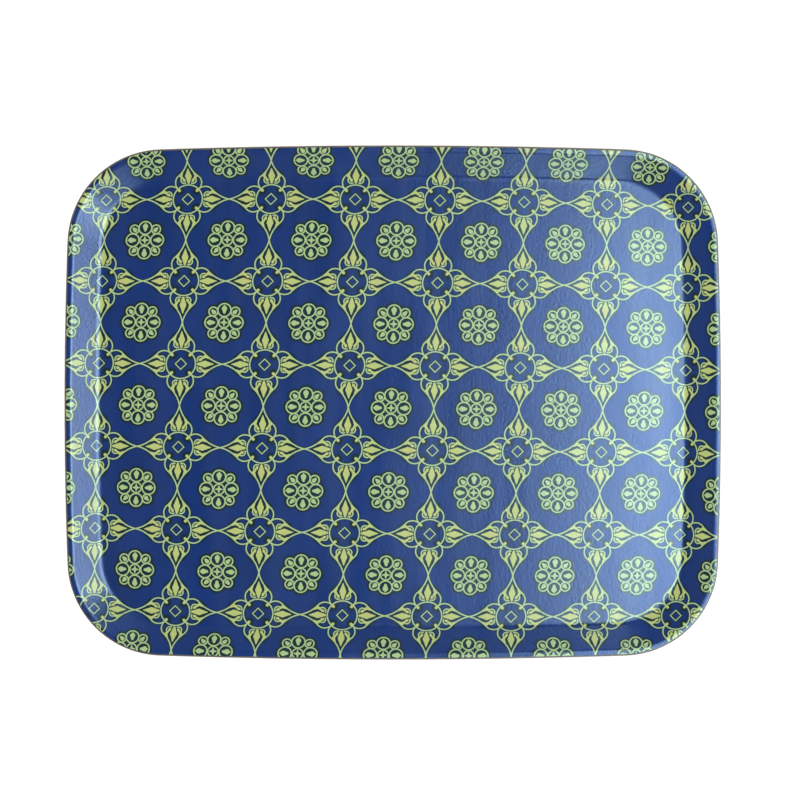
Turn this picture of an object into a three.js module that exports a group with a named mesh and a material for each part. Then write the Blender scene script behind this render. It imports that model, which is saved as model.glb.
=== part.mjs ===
// A shallow serving tray, pressed in one piece from a stack of sheets: a printed
// melamine sheet on top, five birch veneers laid with crossed grain, and a plain
// backing sheet underneath. Millimetres, +Z up. The origin is the middle of the
// resting face, +X runs along the tray's long side and +Y along its short side.

import * as THREE from 'three';

// ---- Outline over the rim ----
const WIDTH = 360;
const DEPTH = 282;
const CORNER_RADIUS = 52.5;
const LONG_SIDE_RADIUS = 3800; // the sides are slightly bowed, so each is a very large arc
const SHORT_SIDE_RADIUS = 2400;

// ---- Section of the upper face, from the cut edge inward ----
const FLANGE_WIDTH = 3.6; // cut edge to the line where flange and wall would meet
const WALL_FOOT_INSET = 16; // cut edge to the line where wall and floor would meet
const WALL_RISE = 10.3; // floor to the line where flange and wall would meet
const FLANGE_SLOPE = THREE.MathUtils.degToRad(8);
const RIM_BEND_RADIUS = 3.4; // crest between wall and flange, on the upper face
const FLOOR_BEND_RADIUS = 5.5; // hollow between floor and wall, on the upper face

// ---- Sheets, top to bottom ----
const DECOR_THICKNESS = 0.25;
const VENEER_THICKNESS = 0.4;
const BACKING_THICKNESS = 0.25;
const GLUE_LINE = 0.03; // resin film left open between two sheets
const EDGE_EASE = 1.2; // how far the sanded edge rolls back at the faces

// ---- How finely the arcs are divided ----
const CORNER_STEPS = 8;
const SIDE_STEPS = 4;
const BEND_STEPS = 2;

const DECOR_BLUE = 0x24408c;
const BIRCH_LONG_GRAIN = 0xd9bd8f;
const BIRCH_END_GRAIN = 0xb58f62;
const KRAFT_BROWN = 0x8a6a4c;

const SHEETS = [
  { name: 'decor_sheet', thickness: DECOR_THICKNESS, color: DECOR_BLUE, roughness: 0.15 },
  { name: 'face_veneer', thickness: VENEER_THICKNESS, color: BIRCH_LONG_GRAIN, roughness: 0.6 },
  { name: 'upper_cross_veneer', thickness: VENEER_THICKNESS, color: BIRCH_END_GRAIN, roughness: 0.7 },
  { name: 'core_veneer', thickness: VENEER_THICKNESS, color: BIRCH_LONG_GRAIN, roughness: 0.6 },
  { name: 'lower_cross_veneer', thickness: VENEER_THICKNESS, color: BIRCH_END_GRAIN, roughness: 0.7 },
  { name: 'back_veneer', thickness: VENEER_THICKNESS, color: BIRCH_LONG_GRAIN, roughness: 0.6 },
  { name: 'backing_sheet', thickness: BACKING_THICKNESS, color: KRAFT_BROWN, roughness: 0.45 },
];

const sheetsOnly = SHEETS.reduce((sum, sheet) => sum + sheet.thickness, 0);
const BOARD_THICKNESS = sheetsOnly + (SHEETS.length - 1) * GLUE_LINE;

// The centre of the corner arc, which runs tangent into a long and a short side arc.
function cornerCentre() {
  const longCentre = new THREE.Vector2(0, DEPTH / 2 - LONG_SIDE_RADIUS);
  const shortCentre = new THREE.Vector2(WIDTH / 2 - SHORT_SIDE_RADIUS, 0);
  const toLong = LONG_SIDE_RADIUS - CORNER_RADIUS;
  const toShort = SHORT_SIDE_RADIUS - CORNER_RADIUS;
  const between = shortCentre.clone().sub(longCentre);
  const gap = between.length();
  const along = (toLong ** 2 - toShort ** 2 + gap ** 2) / (2 * gap);
  const aside = Math.sqrt(toLong ** 2 - along ** 2);
  const unit = between.normalize();
  const outward = new THREE.Vector2(unit.y, -unit.x);
  return longCentre.addScaledVector(unit, along).addScaledVector(outward, aside);
}

// Stations round the outline, counterclockwise from the middle of the +X side. Each has
// an arc centre, the arc's radius and the direction in which the outline faces there.
function outlineStations() {
  const corner = cornerCentre();
  const longTurn = Math.asin(corner.x / (LONG_SIDE_RADIUS - CORNER_RADIUS));
  const shortTurn = Math.asin(corner.y / (SHORT_SIDE_RADIUS - CORNER_RADIUS));
  const stations = [];

  function addArc(x, y, radius, from, to, steps) {
    for (let i = 0; i < steps; i += 1) {
      const facing = THREE.MathUtils.lerp(from, to, i / steps);
      stations.push({ x, y, radius, facing });
    }
  }

  for (const half of [1, -1]) {
    const turn = half === 1 ? 0 : Math.PI;
    const shortX = half * (WIDTH / 2 - SHORT_SIDE_RADIUS);
    const longY = half * (DEPTH / 2 - LONG_SIDE_RADIUS);
    const right = Math.PI / 2;
    addArc(shortX, 0, SHORT_SIDE_RADIUS, turn - shortTurn, turn + shortTurn, SIDE_STEPS);
    addArc(half * corner.x, half * corner.y, CORNER_RADIUS,
      turn + shortTurn, turn + right - longTurn, CORNER_STEPS);
    addArc(0, longY, LONG_SIDE_RADIUS, turn + right - longTurn, turn + right + longTurn, SIDE_STEPS);
    addArc(-half * corner.x, half * corner.y, CORNER_RADIUS,
      turn + right + longTurn, turn + Math.PI - shortTurn, CORNER_STEPS);
  }
  return stations;
}

// Half the ellipse that the sanded edge follows, as an inset from the widest line.
function edgeInset(depth) {
  const half = BOARD_THICKNESS / 2;
  const offset = (depth - half) / half;
  return EDGE_EASE * (1 - Math.sqrt(Math.max(0, 1 - offset ** 2)));
}

// Section of the surface that lies the given depth below the upper face, from the floor's
// edge out to the cut edge. Bends keep their centres, so every sheet stays parallel.
function section(depth) {
  const wallRun = WALL_FOOT_INSET - FLANGE_WIDTH;
  const wallSlope = Math.atan2(WALL_RISE, wallRun);
  const floor = BOARD_THICKNESS;
  const points = [];

  function addBend(inset, height, radius, from, to) {
    for (let i = 0; i <= BEND_STEPS; i += 1) {
      const slope = THREE.MathUtils.lerp(from, to, i / BEND_STEPS);
      points.push({ inset: inset + radius * Math.sin(slope), height: height + radius * Math.cos(slope) });
    }
  }

  const floorReach = FLOOR_BEND_RADIUS * Math.tan(wallSlope / 2);
  addBend(WALL_FOOT_INSET + floorReach, floor + FLOOR_BEND_RADIUS,
    -(FLOOR_BEND_RADIUS + depth), 0, wallSlope);

  const crestTurn = (wallSlope - FLANGE_SLOPE) / 2;
  const crestReach = RIM_BEND_RADIUS * Math.tan(crestTurn);
  const crestInset = FLANGE_WIDTH
    - crestReach * Math.cos(FLANGE_SLOPE) - RIM_BEND_RADIUS * Math.sin(FLANGE_SLOPE);
  const crestHeight = floor + WALL_RISE
    + crestReach * Math.sin(FLANGE_SLOPE) - RIM_BEND_RADIUS * Math.cos(FLANGE_SLOPE);
  addBend(crestInset, crestHeight, RIM_BEND_RADIUS - depth, wallSlope, FLANGE_SLOPE);

  const last = points[points.length - 1];
  const inset = edgeInset(depth);
  points.push({ inset, height: last.height + (last.inset - inset) * Math.tan(FLANGE_SLOPE) });
  return points;
}

// One sheet as a closed body: its upper face from the middle of the floor to the edge,
// the cut edge, and its lower face back to the middle.
function sheetGeometry(stations, topDepth, thickness) {
  const upper = section(topDepth);
  const lower = section(topDepth + thickness).reverse();
  const rings = [...upper, ...lower];
  const around = stations.length;
  const positions = [];

  for (const { inset, height } of rings) {
    for (const { x, y, radius, facing } of stations) {
      const reach = radius - inset;
      positions.push(x + reach * Math.cos(facing), y + reach * Math.sin(facing), height);
    }
  }

  const index = [];
  for (let ring = 0; ring < rings.length - 1; ring += 1) {
    for (let i = 0; i < around; i += 1) {
      const next = (i + 1) % around;
      const here = ring * around;
      const beyond = here + around;
      index.push(here + i, beyond + i, beyond + next);
      index.push(here + i, beyond + next, here + next);
    }
  }

  const floorOutline = stations.map((_, i) => new THREE.Vector2(positions[3 * i], positions[3 * i + 1]));
  const underside = (rings.length - 1) * around;
  for (const [a, b, c] of THREE.ShapeUtils.triangulateShape(floorOutline, [])) {
    index.push(a, b, c);
    index.push(underside + a, underside + c, underside + b);
  }

  const geometry = new THREE.BufferGeometry();
  geometry.setAttribute('position', new THREE.Float32BufferAttribute(positions, 3));
  geometry.setIndex(index);
  geometry.computeVertexNormals();
  return geometry;
}

const group = new THREE.Group();
const stations = outlineStations();
let depth = 0;
for (const { name, thickness, color, roughness } of SHEETS) {
  const material = new THREE.MeshStandardMaterial({ color, roughness, metalness: 0 });
  const mesh = new THREE.Mesh(sheetGeometry(stations, depth, thickness), material);
  mesh.name = name;
  group.add(mesh);
  depth += thickness + GLUE_LINE;
}

export default group;
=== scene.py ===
# %% [markdown]
# # A pressed veneer serving tray
#
# The tray is one stack of thin sheets, glued and pressed hot in a shallow mould. On top is
# a sheet of printed paper under clear melamine resin, in the middle are five birch veneers
# with their grain crossed, and underneath is a sheet of brown kraft paper soaked in resin.
# Each sheet is a piece of its own here, so each shows at the sanded rim as a thin line.
#
# The imported model gives the frame: metres, +Z up, the tray resting on z = 0. Its sheets are
# kept in the scene and hidden as the finished pieces are built.

# %% Load the frame
import math

import bpy
import numpy as np
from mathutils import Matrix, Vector


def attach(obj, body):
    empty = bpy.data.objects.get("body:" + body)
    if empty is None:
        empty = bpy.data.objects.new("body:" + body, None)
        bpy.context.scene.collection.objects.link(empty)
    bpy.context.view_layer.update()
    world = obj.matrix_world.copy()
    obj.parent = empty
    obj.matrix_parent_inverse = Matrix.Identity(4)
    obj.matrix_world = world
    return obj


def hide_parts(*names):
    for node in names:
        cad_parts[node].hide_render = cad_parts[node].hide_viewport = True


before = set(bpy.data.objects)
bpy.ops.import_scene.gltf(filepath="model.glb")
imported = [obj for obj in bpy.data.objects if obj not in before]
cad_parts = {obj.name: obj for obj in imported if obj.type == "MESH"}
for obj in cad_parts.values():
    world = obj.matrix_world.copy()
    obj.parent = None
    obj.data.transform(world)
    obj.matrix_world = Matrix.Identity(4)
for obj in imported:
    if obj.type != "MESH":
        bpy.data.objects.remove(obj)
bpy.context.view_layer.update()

print("sheets in the frame:", sorted(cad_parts))

# %% [markdown]
# ## Camera
#
# The tray is seen from straight above, a little over half a metre up, with a normal lens.
# From there all four walls show, and each as a narrow band. The camera stands a little off
# the middle of the tray, so the band is a little wider on the sides further from it. The
# lens is shifted slightly, which moves the picture without tilting the camera.

# %% Camera
MM = 0.001

camera_data = bpy.data.cameras.new("camera")
camera_data.lens = 47.25
camera_data.sensor_width = 36
camera_data.shift_y = -0.035
camera = bpy.data.objects.new("camera", camera_data)
camera.location = (4.0 * MM, 16.7 * MM, 588.0 * MM)
bpy.context.scene.collection.objects.link(camera)
bpy.context.scene.camera = camera
print("camera height in mm:", round(camera.location.z / MM))

# %% [markdown]
# ## Outline and section
#
# A pressed tray has one section all the way round: a flat floor, a hollow bend, a straight
# sloping wall, a crest and a narrow flange that slopes down to the cut edge. Swept along
# the outline, that section gives the whole shape. The four sides are bowed outward by about
# two millimetres, and the corners are round arcs that run tangent into them.
#
# Every sheet in the stack is parallel to its neighbours, because pressing doesn't change
# their thickness. A sheet that lies deeper keeps the same bend centres: its hollow bend has
# a larger radius and its crest a smaller one.

# %% Dimensions
WIDTH = 360
DEPTH = 282
CORNER_RADIUS = 52.5
LONG_SIDE_RADIUS = 3800
SHORT_SIDE_RADIUS = 2400

FLANGE_WIDTH = 3.6
WALL_FOOT_INSET = 16
WALL_RISE = 10.3
FLANGE_SLOPE = math.radians(8)
RIM_BEND_RADIUS = 3.4
FLOOR_BEND_RADIUS = 5.5
WALL_SLOPE = math.atan2(WALL_RISE, WALL_FOOT_INSET - FLANGE_WIDTH)

DECOR_THICKNESS = 0.25
VENEER_THICKNESS = 0.4
VENEER_COUNT = 5
BACKING_THICKNESS = 0.25
GLUE_LINE = 0.03
EDGE_EASE = 1.2
BOARD_THICKNESS = (
    DECOR_THICKNESS
    + VENEER_COUNT * VENEER_THICKNESS
    + BACKING_THICKNESS
    + (VENEER_COUNT + 1) * GLUE_LINE
)

CORNER_STEPS = 24
SIDE_STEPS = 16
BEND_STEPS = 8
EDGE_STEPS = 3
FLOOR_RINGS = 14
SHARP_ANGLE = math.radians(35)  # faces that meet at more than this show a crisp edge
print("board thickness in mm:", round(BOARD_THICKNESS, 2))


# %% Outline
def corner_centre():
    """The centre of the corner arc that touches a long side's arc and a short side's."""
    long_centre = np.array([0, DEPTH / 2 - LONG_SIDE_RADIUS])
    short_centre = np.array([WIDTH / 2 - SHORT_SIDE_RADIUS, 0])
    to_long = LONG_SIDE_RADIUS - CORNER_RADIUS
    to_short = SHORT_SIDE_RADIUS - CORNER_RADIUS
    between = short_centre - long_centre
    gap = np.linalg.norm(between)
    unit = between / gap
    along = (to_long**2 - to_short**2 + gap**2) / (2 * gap)
    aside = math.sqrt(to_long**2 - along**2)
    return long_centre + along * unit + aside * np.array([unit[1], -unit[0]])


def outline_stations():
    """Arc centre, radius and facing at each step round the outline, counterclockwise."""
    corner = corner_centre()
    long_turn = math.asin(corner[0] / (LONG_SIDE_RADIUS - CORNER_RADIUS))
    short_turn = math.asin(corner[1] / (SHORT_SIDE_RADIUS - CORNER_RADIUS))
    quarter = math.pi / 2
    arcs = []
    for half in (1, -1):
        turn = 0 if half == 1 else math.pi
        short_x = half * (WIDTH / 2 - SHORT_SIDE_RADIUS)
        long_y = half * (DEPTH / 2 - LONG_SIDE_RADIUS)
        x, y = half * corner
        long_start = turn + quarter - long_turn
        long_end = turn + quarter + long_turn
        arcs += [
            (short_x, 0, SHORT_SIDE_RADIUS, turn - short_turn, turn + short_turn, SIDE_STEPS),
            (x, y, CORNER_RADIUS, turn + short_turn, long_start, CORNER_STEPS),
            (0, long_y, LONG_SIDE_RADIUS, long_start, long_end, SIDE_STEPS),
            (-x, y, CORNER_RADIUS, long_end, turn + math.pi - short_turn, CORNER_STEPS),
        ]
    rows = []
    for x, y, radius, start, end, steps in arcs:
        for step in range(steps):
            rows.append((x, y, radius, start + (end - start) * step / steps))
    return np.array(rows).T


def at_reach(stations, reach_change):
    """Points that lie outside the outline by reach_change, or inside it where negative."""
    x, y, radius, facing = stations
    reach = radius + reach_change
    return np.stack([x + reach * np.cos(facing), y + reach * np.sin(facing)], axis=-1)


STATIONS = outline_stations()
rim = at_reach(STATIONS, 0)
print("outline stations:", len(rim), "rim size in mm:", np.round(np.ptp(rim, axis=0), 2))


# %% Section
def edge_inset(depth):
    """How far the sanded edge has rolled back at a depth below the upper face."""
    half = BOARD_THICKNESS / 2
    offset = (depth - half) / half
    return EDGE_EASE * (1 - math.sqrt(max(0, 1 - offset**2)))


def bend(inset, height, radius, start, end):
    """(inset, height) along an arc between two slopes. A hollow bend's radius is negative."""
    slopes = np.linspace(start, end, BEND_STEPS + 1)
    return [(inset + radius * math.sin(s), height + radius * math.cos(s)) for s in slopes]


def section(depth):
    """(inset, height) of a surface below the upper face, from the floor's edge outward."""
    foot = WALL_FOOT_INSET + FLOOR_BEND_RADIUS * math.tan(WALL_SLOPE / 2)
    hollow_height = BOARD_THICKNESS + FLOOR_BEND_RADIUS
    hollow = bend(foot, hollow_height, -(FLOOR_BEND_RADIUS + depth), 0, WALL_SLOPE)
    crest_reach = RIM_BEND_RADIUS * math.tan((WALL_SLOPE - FLANGE_SLOPE) / 2)
    crest_inset = (
        FLANGE_WIDTH
        - crest_reach * math.cos(FLANGE_SLOPE)
        - RIM_BEND_RADIUS * math.sin(FLANGE_SLOPE)
    )
    crest_height = (
        BOARD_THICKNESS + WALL_RISE
        + crest_reach * math.sin(FLANGE_SLOPE)
        - RIM_BEND_RADIUS * math.cos(FLANGE_SLOPE)
    )
    crest = bend(crest_inset, crest_height, RIM_BEND_RADIUS - depth, WALL_SLOPE, FLANGE_SLOPE)
    last_inset, last_height = crest[-1]
    inset = edge_inset(depth)
    flange_end = (inset, last_height + (last_inset - inset) * math.tan(FLANGE_SLOPE))
    return hollow + crest + [flange_end]


upper = np.array(section(0))
print("floor starts", round(upper[0][0], 2), "mm in; rim top at", round(upper[:, 1].max(), 2), "mm")

# %% [markdown]
# ## The print's place on the tray
#
# The paper is printed flat and takes the tray's shape in the press. It doesn't stretch, so
# the pattern runs up the walls at its flat size, measured along the surface. It lies a
# little askew: seen from above, the rows turn clockwise by under a degree and the columns
# by nearly two. The print is also drawn in toward the middle, more the further out it is:
# at a corner it lies 4% nearer the middle than an even print would.
#
# Each point of the tray gets a pair of numbers that count the pattern's repeats across and
# along. They are stored as the UV map "print", and the printed material reads only that.

# %% Print placement
PITCH_ACROSS = 47.7
PITCH_ALONG = 46.9
ROW_TURN = math.radians(-0.7)
COLUMN_LEAN = math.radians(1.8)
PRINT_ORIGIN = np.array([-1.0, -3.4])
DRAWN_IN_AT_CORNERS = 0.04

step_across = PITCH_ACROSS * np.array([math.cos(ROW_TURN), math.sin(ROW_TURN)])
step_along = PITCH_ALONG * np.array([math.sin(COLUMN_LEAN), math.cos(COLUMN_LEAN)])
TO_REPEATS = np.linalg.inv(np.column_stack([step_across, step_along]))
CORNER_REACH = math.hypot(WIDTH / 2, DEPTH / 2)


def repeats_at(flat):
    """Counts of the pattern's repeats at places on the flat sheet, given in mm."""
    reach = np.linalg.norm(flat, axis=-1, keepdims=True) / CORNER_REACH
    drawn = flat * (1 + DRAWN_IN_AT_CORNERS * reach**2)
    return (drawn - PRINT_ORIGIN) @ TO_REPEATS.T


print("repeats at the middle of the tray:", np.round(repeats_at(np.zeros((1, 2))), 3))

# %% [markdown]
# ## Making a sheet
#
# A sheet is a closed body: rings of points from the middle of the floor out to the edge,
# round the cut edge, and back underneath to the middle. The bends are divided finely, so
# that reflections run smoothly through them. The edge follows the same rolled-over curve as
# the whole board, because the stack is sanded as one piece after pressing.


# %% Sheet builder
def sheet_rings(depth, thickness):
    """Points of every ring, their flat places, and how many rings the upper face has."""
    rings = []
    flats = []

    def add_ring(place, height, flat):
        rings.append(np.column_stack([place, np.full(len(place), height)]))
        flats.append(flat)

    def add_floor(level, inset, fractions):
        edge = at_reach(STATIONS, -inset)
        for fraction in fractions:
            add_ring(edge * fraction, level, edge * fraction)

    def with_paper_places(profile):
        """Each point of a profile, with the ring of places it has on the flat paper."""
        start = profile[0][0]
        path = np.cumsum([0, *np.hypot(*np.diff(profile, axis=0).T)])
        return [(point, at_reach(STATIONS, run - start)) for point, run in zip(profile, path)]

    top = np.array(section(depth))
    bottom = np.array(section(depth + thickness))
    fractions = np.arange(1, FLOOR_RINGS) / FLOOR_RINGS
    add_floor(top[0][1], top[0][0], fractions)
    for (inset, height), flat in with_paper_places(top):
        add_ring(at_reach(STATIONS, -inset), height, flat)
    upper_count = len(rings)
    for step in range(1, EDGE_STEPS):
        share = step / EDGE_STEPS
        height = top[-1][1] + (bottom[-1][1] - top[-1][1]) * share
        add_ring(at_reach(STATIONS, -edge_inset(depth + thickness * share)), height, flat)
    for (inset, height), flat in reversed(with_paper_places(bottom)):
        add_ring(at_reach(STATIONS, -inset), height, flat)
    add_floor(bottom[0][1], bottom[0][0], fractions[::-1])
    return np.array(rings), np.array(flats), upper_count


def build_sheet(name, depth, thickness, materials):
    """Makes one sheet of the stack. The second material, if any, is its cut edge's."""
    rings, flats, upper_count = sheet_rings(depth, thickness)
    count, around = rings.shape[:2]
    middle_top = count * around
    middle_bottom = middle_top + 1
    points = np.vstack([rings.reshape(-1, 3), [(0, 0, rings[0, 0, 2]), (0, 0, rings[-1, 0, 2])]])
    flat = np.vstack([flats.reshape(-1, 2), np.zeros((2, 2))])
    faces = []
    slots = []
    edge_end = upper_count + EDGE_STEPS - 1
    last = (count - 1) * around
    for i in range(around):
        after = (i + 1) % around
        faces.append((middle_top, i, after))
        slots.append(0)
        for ring in range(count - 1):
            here = ring * around
            faces.append((here + i, here + around + i, here + around + after, here + after))
            slots.append(1 if upper_count - 1 <= ring < edge_end and len(materials) > 1 else 0)
        faces.append((middle_bottom, last + after, last + i))
        slots.append(0)
    mesh = bpy.data.meshes.new(name)
    mesh.from_pydata((points * MM).tolist(), [], faces)
    for material in materials:
        mesh.materials.append(material)
    mesh.polygons.foreach_set("material_index", slots)
    corners = np.empty(len(mesh.loops), dtype=np.int32)
    mesh.loops.foreach_get("vertex_index", corners)
    layer = mesh.uv_layers.new(name="print")
    layer.data.foreach_set("uv", repeats_at(flat)[corners].astype(np.float32).ravel())
    mesh.polygons.foreach_set("use_smooth", [True] * len(faces))
    mesh.set_sharp_from_angle(angle=SHARP_ANGLE)
    mesh.update()
    return bpy.data.objects.new(name, mesh)


trial = build_sheet("trial", 0, DECOR_THICKNESS, [])
print("faces in one sheet:", len(trial.data.polygons))
bpy.data.meshes.remove(trial.data)

# %% [markdown]
# ## Building materials from nodes
#
# All the finishes are procedural. One small function adds a node: it sets the node's
# options, fills in or links its inputs, and gives back its output, so a chain of nodes
# reads like a formula. Colours are written as sRGB hex and turned into linear light.


# %% Material helpers
def linear(hex_colour):
    """An sRGB hex colour as linear red, green, blue and alpha."""
    parts = [int(hex_colour[k : k + 2], 16) / 255 for k in (1, 3, 5)]
    return [p / 12.92 if p <= 0.04045 else ((p + 0.055) / 1.055) ** 2.4 for p in parts] + [1.0]


def add(tree, kind, inputs=(), output=0, **options):
    """Adds one shader node and returns one of its outputs."""
    node = tree.nodes.new(kind if kind.startswith("Node") else "ShaderNode" + kind)
    for name, value in options.items():
        setattr(node, name, value)
    pairs = inputs.items() if isinstance(inputs, dict) else enumerate(inputs)
    for socket, value in pairs:
        if isinstance(value, bpy.types.NodeSocket):
            tree.links.new(value, node.inputs[socket])
        else:
            node.inputs[socket].default_value = value
    return node.outputs[output] if len(node.outputs) else node


def new_material(name):
    """An empty material, its node tree and its shader, linked to the output."""
    material = bpy.data.materials.new(name)
    material.use_nodes = True
    tree = material.node_tree
    shader = tree.nodes["Principled BSDF"]
    return material, tree, shader


VALUE = 1  # the number output of a vector node such as a length or a dot product
print("white in linear light:", linear("#ffffff"))

# %% [markdown]
# ## Drawing the print
#
# The pattern is plain tile ornament drawn for this tray: crosses of four pointed petals
# that touch tip to tip, with a small diamond in the middle of each, and a rosette of circles
# in each gap. Every other stroke is an arc of a circle or a bar that tapers, so the drawing
# needs only a few distances.
# One repeat is a square with a cross in the middle and a quarter of a rosette in each
# corner.
#
# The square is folded along its middle lines and its diagonals, as paper is folded to cut
# a snowflake, so only an eighth of it is drawn. All the lengths are parts of one repeat.


# %% Stroke groups
def new_group(name, inputs):
    """A node group that takes the named inputs and gives one distance."""
    tree = bpy.data.node_groups.new(name, "ShaderNodeTree")
    for label, kind in inputs:
        tree.interface.new_socket(label, in_out="INPUT", socket_type="NodeSocket" + kind)
    tree.interface.new_socket("Distance", in_out="OUTPUT", socket_type="NodeSocketFloat")
    sockets = tree.nodes.new("NodeGroupInput").outputs
    return tree, [sockets[label] for label, kind in inputs]


def arc_group():
    """Distance from an arc's line, or at least 1 beyond its two ends."""
    tree, (point, centre, radius, middle, spread) = new_group(
        "arc distance",
        [("Point", "Vector"), ("Centre", "Vector"), ("Radius", "Float"), ("Middle", "Vector"),
         ("Spread", "Float")],
    )
    offset = add(tree, "VectorMath", (point, centre), operation="SUBTRACT")
    length = add(tree, "VectorMath", (offset,), VALUE, operation="LENGTH")
    facing = add(tree, "VectorMath", (offset, middle), VALUE, operation="DOT_PRODUCT")
    limit = add(tree, "Math", (length, spread), operation="MULTIPLY")
    beyond = add(tree, "Math", (facing, limit), operation="LESS_THAN")
    miss = add(tree, "Math", (length, radius), operation="SUBTRACT")
    gap = add(tree, "Math", (miss,), operation="ABSOLUTE")
    total = add(tree, "Math", (gap, beyond), operation="ADD")
    add(tree, "NodeGroupOutput", (total,))
    return tree


def bar_group():
    """Signed distance from a bar whose half-width changes evenly from end to end."""
    tree, (point, start, run, along, width, growth) = new_group(
        "bar distance",
        [("Point", "Vector"), ("Start", "Vector"), ("Run", "Vector"), ("Along", "Vector"),
         ("Width", "Float"), ("Growth", "Float")],
    )
    offset = add(tree, "VectorMath", (point, start), operation="SUBTRACT")
    share = add(tree, "VectorMath", (offset, along), VALUE, operation="DOT_PRODUCT")
    held = add(tree, "Math", (share, 0.0), operation="ADD", use_clamp=True)
    foot = add(tree, "VectorMath", {0: run, "Scale": held}, operation="SCALE")
    away = add(tree, "VectorMath", (offset, foot), operation="SUBTRACT")
    distance = add(tree, "VectorMath", (away,), VALUE, operation="LENGTH")
    half_width = add(tree, "Math", (held, growth, width), operation="MULTIPLY_ADD")
    signed = add(tree, "Math", (distance, half_width), operation="SUBTRACT")
    add(tree, "NodeGroupOutput", (signed,))
    return tree


ARC = arc_group()
BAR = bar_group()


def arc(tree, point, centre, radius, start, end):
    """Distance from a circle's arc between two directions in degrees."""
    middle = math.radians((start + end) / 2)
    spread = math.cos(math.radians((end - start) / 2))
    direction = (math.cos(middle), math.sin(middle), 0)
    return add(tree, "Group", (point, (*centre, 0), radius, direction, spread), node_tree=ARC)


def bar(tree, point, start, end, start_width, end_width):
    """Signed distance from a bar with the two half-widths given."""
    run = Vector((end[0] - start[0], end[1] - start[1], 0))
    values = (point, (*start, 0), run, run / run.length_squared, start_width, end_width - start_width)
    return add(tree, "Group", values, node_tree=BAR)


def nearest(tree, distances):
    """The smallest of several distances."""
    result = distances[0]
    for distance in distances[1:]:
        result = add(tree, "Math", (result, distance), operation="MINIMUM")
    return result


print("stroke groups:", [g.name for g in bpy.data.node_groups])

# %% [markdown]
# ### Petals, buds and rosettes
#
# A petal is an ogee: a round belly, then a hollow arc that leaves it smoothly and ends at
# the tip. A ring ties the four petals of a cross together. Each petal holds a pointed leaf
# between two curls, each with a seed in it and a smaller leaf beside it. The rosette has
# four large circles and four small ones round a ring, with a seed in each circle and a
# small star in the ring.

# %% Pattern strokes
LINE = 0.0080  # half the width of a petal's line
ROSETTE_LINE = 0.0082
DIAMOND_LINE = 0.0060
PETAL_SHADE = (0.002, 0.022)
BUD_SHADE = (0.028, 0.055)
ROSETTE_SHADE = (0.020, 0.036)
INK_EDGE = (-0.002, 0.002)  # from full ink to none
SHADE_COVER = 0.9

PETAL_TIP = Vector((0.5, 0.0))
PETALS_MEET = Vector((0.125, 0.125))
BELLY_CENTRE = Vector((0.205, 0.045))
BELLY_END = 42  # the direction, in degrees, in which the belly gives way to the hollow arc


def heading(vector):
    return math.degrees(math.atan2(vector.y, vector.x)) % 360


def ogee():
    """The belly's arc and the hollow arc that touches it and ends at the petal's tip."""
    belly = PETALS_MEET - BELLY_CENTRE
    outward = Vector((math.cos(math.radians(BELLY_END)), math.sin(math.radians(BELLY_END))))
    touch = BELLY_CENTRE + outward * belly.length
    gap = touch - PETAL_TIP
    hollow_radius = -gap.length_squared / (2 * outward.dot(gap))
    hollow_centre = touch + outward * hollow_radius
    return [
        (tuple(BELLY_CENTRE), belly.length, BELLY_END, heading(belly)),
        (tuple(hollow_centre), hollow_radius, BELLY_END + 180, heading(PETAL_TIP - hollow_centre)),
    ]


PETAL_ARCS = ogee() + [
    ((0.0, 0.0), PETALS_MEET.length, 0, 45),  # ring
    ((0.236, 0.052), 0.040, 20, 215),  # curl
]
BUD_BARS = [
    ((0.205, 0.000), (0.290, 0.000), 0.014, 0.040),  # leaf
    ((0.290, 0.000), (0.392, 0.000), 0.040, 0.004),
    ((0.262, 0.072), (0.288, 0.092), 0.013, 0.017),  # side leaf
    ((0.288, 0.092), (0.340, 0.064), 0.017, 0.004),
    ((0.226, 0.050), (0.240, 0.056), 0.014, 0.017),  # seed in the curl
    ((0.106, 0.106), (0.113, 0.113), 0.017, 0.017),  # seed between two petals
]
ROSETTE_ARCS = [
    ((0.0, 0.0), 0.062, 0, 45),  # ring
    ((0.150, 0.0), 0.078, 0, 180),  # large circle
    ((0.132, 0.132), 0.053, -135, 45),  # small circle
]
ROSETTE_BARS = [
    ((0.122, 0.000), (0.168, 0.000), 0.016, 0.032),  # seed in the large circle
    ((0.168, 0.000), (0.210, 0.000), 0.032, 0.004),
    ((0.124, 0.124), (0.144, 0.144), 0.026, 0.014),  # seed in the small circle
    ((0.000, 0.000), (0.040, 0.000), 0.018, 0.006),  # star in the ring
]
DIAMOND = 0.067  # centre to corner of the small diamond in the middle of a cross


def fold(tree):
    """The place within one eighth of a repeat, from the cross and from the rosette."""
    place = add(tree, "UVMap", uv_map="print")
    part = add(tree, "VectorMath", (place,), operation="FRACTION")
    centred = add(tree, "VectorMath", (part, (0.5, 0.5, 0)), operation="SUBTRACT")
    mirrored = add(tree, "VectorMath", (centred,), operation="ABSOLUTE")
    split = add(tree, "SeparateXYZ", (mirrored,)).node
    across, along = split.outputs[0], split.outputs[1]
    far = add(tree, "Math", (across, along), operation="MAXIMUM")
    near = add(tree, "Math", (across, along), operation="MINIMUM")
    cross_place = add(tree, "CombineXYZ", (far, near, 0.0))
    rosette_far = add(tree, "Math", (0.5, near), operation="SUBTRACT")
    rosette_near = add(tree, "Math", (0.5, far), operation="SUBTRACT")
    rosette_place = add(tree, "CombineXYZ", (rosette_far, rosette_near, 0.0))
    reach = add(tree, "Math", (far, near), operation="ADD")
    return cross_place, rosette_place, reach


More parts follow.
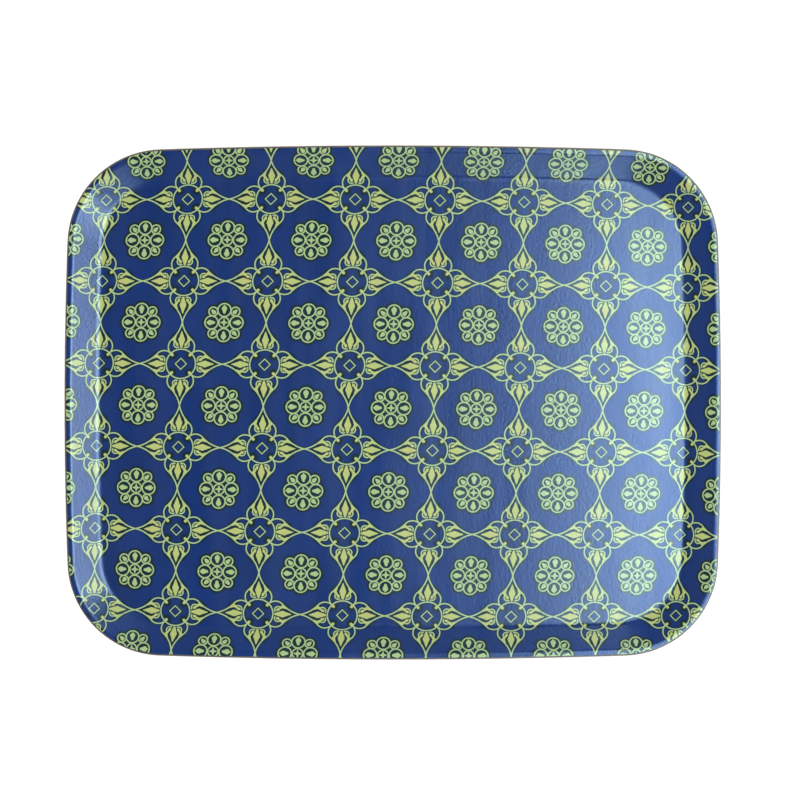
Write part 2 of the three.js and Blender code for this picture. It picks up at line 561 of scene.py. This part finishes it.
def strokes(tree, place, arcs, bars, line=LINE):
    """Signed distance from a set of drawn strokes."""
    parts = [bar(tree, place, *values) for values in bars]  # bars are solid, arcs are lines
    if arcs:
        lines = nearest(tree, [arc(tree, place, *values) for values in arcs])
        parts.append(add(tree, "Math", (lines, line), operation="SUBTRACT"))
    return nearest(tree, parts)


def inked(tree, distance, full, none):
    """1 where the distance is under full, falling smoothly to 0 at none."""
    values = {"Value": distance, "From Min": full, "From Max": none, "To Min": 1.0, "To Max": 0.0}
    return add(tree, "MapRange", values, interpolation_type="SMOOTHSTEP")


print("strokes in an eighth of a repeat:",
      sum(map(len, (PETAL_ARCS, BUD_BARS, ROSETTE_ARCS, ROSETTE_BARS))) + 1)

# %% [markdown]
# ### Printed melamine
#
# The ground is a strong blue. The strokes are pale green and the buds yellow-green, with
# a dark green shadow printed round both. Ink on paper is never quite even, so each colour
# drifts a little. The clear resin on top is glossy and hard, with a refractive index of
# about 1.5. It has fine streaks along the short side and a faint orange peel, both a few
# hundredths of a millimetre deep. Broader patches make the gloss uneven, as wear does.

# %% Printed melamine
GROUND_BLUE = linear("#08347c")
GROUND_DEEP = linear("#072f70")
SHADOW_GREEN = linear("#152e2c")
LINE_GREEN = linear("#adc996")
ROSETTE_GREEN = linear("#acc888")
BUD_YELLOW = linear("#bccb78")
BUD_GOLD = linear("#c8ba76")


def drift(tree, place, size_mm, low, high, detail=2.0):
    """Smooth random values between two limits, with blotches of the size given."""
    noise = add(tree, "TexNoise", {"Vector": place, "Scale": 1 / (size_mm * MM), "Detail": detail})
    values = {"Value": noise, "From Min": 0.3, "From Max": 0.7, "To Min": low, "To Max": high}
    return add(tree, "MapRange", values)


def printed_melamine():
    material, tree, shader = new_material("printed melamine, gloss")
    cross_place, rosette_place, reach = fold(tree)
    place = add(tree, "TexCoord", output="Object")

    slant = add(tree, "Math", (reach, DIAMOND), operation="SUBTRACT")
    side = add(tree, "Math", (slant,), operation="ABSOLUTE")
    diamond = add(tree, "Math", (side, math.sqrt(0.5), -DIAMOND_LINE), operation="MULTIPLY_ADD")
    petal = nearest(tree, [strokes(tree, cross_place, PETAL_ARCS, []), diamond])
    bud = strokes(tree, cross_place, [], BUD_BARS)
    rosette = strokes(tree, rosette_place, ROSETTE_ARCS, ROSETTE_BARS, ROSETTE_LINE)
    shade = inked(tree, petal, *PETAL_SHADE)
    for distance, limits in ((bud, BUD_SHADE), (rosette, ROSETTE_SHADE)):
        shade = add(tree, "Math", (shade, inked(tree, distance, *limits)), operation="MAXIMUM")

    blue = add(tree, "MixRGB", (drift(tree, place, 30, 0, 1), GROUND_BLUE, GROUND_DEEP))
    cover = add(tree, "Math", (shade, SHADE_COVER), operation="MULTIPLY")
    colour = add(tree, "MixRGB", (cover, blue, SHADOW_GREEN))
    colour = add(tree, "MixRGB", (inked(tree, petal, *INK_EDGE), colour, LINE_GREEN))
    colour = add(tree, "MixRGB", (inked(tree, rosette, *INK_EDGE), colour, ROSETTE_GREEN))
    yellow = add(tree, "MixRGB", (drift(tree, place, 5, -0.9, 0.6), BUD_YELLOW, BUD_GOLD))
    colour = add(tree, "MixRGB", (inked(tree, bud, *INK_EDGE), colour, yellow))
    tree.links.new(colour, shader.inputs["Base Color"])

    streaks = add(tree, "Mapping", {"Vector": place, "Scale": (1.0, 0.12, 1.0)})
    grain = add(tree, "TexNoise", {"Vector": streaks, "Scale": 1 / (0.9 * MM), "Detail": 3.0})
    peel = add(tree, "TexNoise", {"Vector": place, "Scale": 1 / (1.6 * MM), "Detail": 1.0})
    height = add(tree, "Math", (peel, 1.8, grain), operation="MULTIPLY_ADD")
    blotches = drift(tree, streaks, 14, 0, 1)
    gloss = add(tree, "MapRange", {"Value": blotches, "To Min": 0.23, "To Max": 0.33})
    tree.links.new(gloss, shader.inputs["Roughness"])
    bump = add(tree, "Bump", {"Height": height, "Strength": 0.8, "Distance": 0.04 * MM})
    tree.links.new(bump, shader.inputs["Normal"])
    shader.inputs["IOR"].default_value = 1.5
    return material


melamine = printed_melamine()
print("nodes in the print:", len(melamine.node_tree.nodes))

# %% [markdown]
# ### Cut edges, birch and kraft
#
# At the rim the printed sheet shows as a thin grey-brown line, which is the colour given
# here to its resin-soaked paper. Birch is pale and fine. A veneer cut along its grain
# shows long streaks, and one cut across it shows its end grain, darker and full of tiny
# pores. The pattern lies in space, stretched along the grain, so the same sheet shows
# streaks on two sides of the tray and pores on the other two, as real veneer does. The
# kraft sheet underneath is plain brown paper under resin, cloudy and slightly fibrous,
# and duller than the print.


# %% Edge and backing materials
def resin_paper(name, light, dark, roughness, fibre_mm):
    """Brown paper soaked in resin: cloudy, with short pale fibres."""
    material, tree, shader = new_material(name)
    place = add(tree, "TexCoord", output="Object")
    clouds = drift(tree, place, 12, 0, 1, detail=4.0)
    scale = 1 / (fibre_mm * MM)
    fibre_values = {"Vector": place, "Scale": scale, "Detail": 4.0, "Distortion": 1.5}
    fibres = add(tree, "TexNoise", fibre_values)
    mixed = add(tree, "Math", (clouds, 0.6, fibres), operation="MULTIPLY_ADD")
    amount = add(tree, "MapRange", {"Value": mixed, "From Min": 0.3, "From Max": 1.3})
    colour = add(tree, "MixRGB", (amount, light, dark))
    tree.links.new(colour, shader.inputs["Base Color"])
    bump = add(tree, "Bump", {"Height": fibres, "Strength": 0.25, "Distance": 0.03 * MM})
    tree.links.new(bump, shader.inputs["Normal"])
    shader.inputs["Roughness"].default_value = roughness
    shader.inputs["IOR"].default_value = 1.5
    return material


def birch_veneer(name, light, dark, grain_axis):
    """Birch whose pattern is stretched along the grain, so end grain shows as pores."""
    material, tree, shader = new_material(name)
    place = add(tree, "TexCoord", output="Object")
    stretch = [1.0, 1.0, 1.0]
    stretch[grain_axis] = 0.04
    along = add(tree, "Mapping", {"Vector": place, "Scale": stretch})
    fine = add(tree, "TexNoise", {"Vector": along, "Scale": 1 / (0.35 * MM), "Detail": 3.0})
    broad = drift(tree, along, 4, 0, 1)
    mixed = add(tree, "Math", (fine, 0.7, broad), operation="MULTIPLY_ADD")
    amount = add(tree, "MapRange", {"Value": mixed, "From Min": 0.2, "From Max": 1.4})
    colour = add(tree, "MixRGB", (amount, light, dark))
    tree.links.new(colour, shader.inputs["Base Color"])
    bump = add(tree, "Bump", {"Height": fine, "Strength": 0.4, "Distance": 0.05 * MM})
    tree.links.new(bump, shader.inputs["Normal"])
    shader.inputs["Roughness"].default_value = 0.6
    shader.inputs["IOR"].default_value = 1.5
    return material


ALONG_X, ALONG_Y = 0, 1
decor_edge = resin_paper("resin paper, cut edge", linear("#6c6562"), linear("#45413f"), 0.5, 0.3)
kraft = resin_paper("kraft laminate, satin", linear("#8f6f50"), linear("#6d5038"), 0.42, 0.5)
birch_lengthwise = birch_veneer(
    "birch veneer, lengthwise", linear("#bba989"), linear("#8e7c5f"), ALONG_X)
birch_crosswise = birch_veneer(
    "birch veneer, crosswise", linear("#99866a"), linear("#6e5e4b"), ALONG_Y)
print("materials:", [m.name for m in (melamine, decor_edge, birch_lengthwise, birch_crosswise, kraft)])

# %% [markdown]
# ## The stack
#
# The sheets are built from the top down, each starting a thin glue line below the last.
# Each stands for its node in the frame and rides on the tray's single body.

# %% Build the stack
STACK = [
    ("decor_sheet", DECOR_THICKNESS, [melamine, decor_edge]),
    ("face_veneer", VENEER_THICKNESS, [birch_lengthwise]),
    ("upper_cross_veneer", VENEER_THICKNESS, [birch_crosswise]),
    ("core_veneer", VENEER_THICKNESS, [birch_lengthwise]),
    ("lower_cross_veneer", VENEER_THICKNESS, [birch_crosswise]),
    ("back_veneer", VENEER_THICKNESS, [birch_lengthwise]),
    ("backing_sheet", BACKING_THICKNESS, [kraft]),
]

top_depth = 0
for node, thickness, materials in STACK:
    sheet = build_sheet("finished_" + node, top_depth, thickness, materials)
    bpy.context.scene.collection.objects.link(sheet)
    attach(sheet, "root")
    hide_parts(node)
    print(node, "from", round(top_depth, 2), "mm deep,", len(sheet.data.polygons), "faces")
    top_depth += thickness + GLUE_LINE

# %% [markdown]
# ## Floor and light
#
# The tray lies on a plain white floor that glows a little, under an even dome of light,
# as on a light table. Glossy surfaces mirror that dome as nearly dark overhead with a
# faint glow low down. A large pale blue panel, like a window, stands on the right, with a
# fainter one round it, and three low bands show mostly in the sloping walls when the tray
# is seen from above. A glossy sheet shows a light only where it mirrors it, so the
# panels' places decide where the sheen lies.

# %% Floor
FLOOR_HALF = 3.0

floor_mesh = bpy.data.meshes.new("floor")
corners = [(-FLOOR_HALF, -FLOOR_HALF, 0), (FLOOR_HALF, -FLOOR_HALF, 0),
           (FLOOR_HALF, FLOOR_HALF, 0), (-FLOOR_HALF, FLOOR_HALF, 0)]
floor_mesh.from_pydata(corners, [], [(0, 1, 2, 3)])
floor_material, floor_tree, floor_shader = new_material("floor, matt white")
floor_shader.inputs["Base Color"].default_value = linear("#f4f4f4")
floor_shader.inputs["Roughness"].default_value = 0.9
floor_shader.inputs["Specular IOR Level"].default_value = 0.0
floor_shader.inputs["Emission Color"].default_value = linear("#ffffff")
floor_shader.inputs["Emission Strength"].default_value = 0.45
floor_mesh.materials.append(floor_material)
floor = bpy.data.objects.new("floor", floor_mesh)
bpy.context.scene.collection.objects.link(floor)

# %% Lights
world = bpy.data.worlds.new("dome")
world.use_nodes = True
bpy.context.scene.world = world
dome = world.node_tree.nodes["Background"]
sky = world.node_tree
gloss_ray = add(sky, "LightPath", output="Is Glossy Ray")
direction = add(sky, "SeparateXYZ", (add(sky, "TexCoord", output="Generated"),), 2)
sky_values = {"Value": direction, "From Min": 0.75, "From Max": 0.45, "To Min": 0.03, "To Max": 0.4}
low_sky = add(sky, "MapRange", sky_values)
strength = add(sky, "MixRGB", (gloss_ray, (1, 1, 1, 1), low_sky))
tint = add(sky, "MixRGB", (gloss_ray, linear("#ffffff"), linear("#b8d2ee")))
sky.links.new(tint, dome.inputs["Color"])
sky.links.new(strength, dome.inputs["Strength"])


def panel(name, place, target, width, height, colour, radiance):
    """A soft rectangular light that faces a target and shows only in glossy surfaces."""
    data = bpy.data.lights.new(name, "AREA")
    data.shape = "RECTANGLE"
    data.size = width
    data.size_y = height
    data.color = linear(colour)[:3]
    data.energy = radiance * math.pi * width * height
    light = bpy.data.objects.new(name, data)
    light.location = place
    light.rotation_euler = (Vector(target) - Vector(place)).to_track_quat("-Z", "Y").to_euler()
    light.visible_diffuse = False
    light.visible_camera = False
    bpy.context.scene.collection.objects.link(light)


panel("window", (0.58, -0.12, 0.81), (0, -0.12, 0), 0.90, 0.62, "#b0cee2", 13.5)
panel("window glow", (0.53, -0.12, 0.90), (0, -0.12, 0), 0.94, 0.76, "#b0cee2", 5.0)
panel("side band", (0.80, -0.16, 0.48), (-0.16, -0.16, 0), 0.62, 0.24, "#d8dde0", 3.4)
panel("front band", (0.52, -1.0, 0.46), (0, 0.12, 0), 0.7, 0.3, "#b4dcff", 9.0)
panel("back band", (0.52, 1.0, 0.46), (0, -0.12, 0), 0.6, 0.3, "#b4dcff", 4.0)
bpy.context.scene.view_settings.view_transform = "Standard"
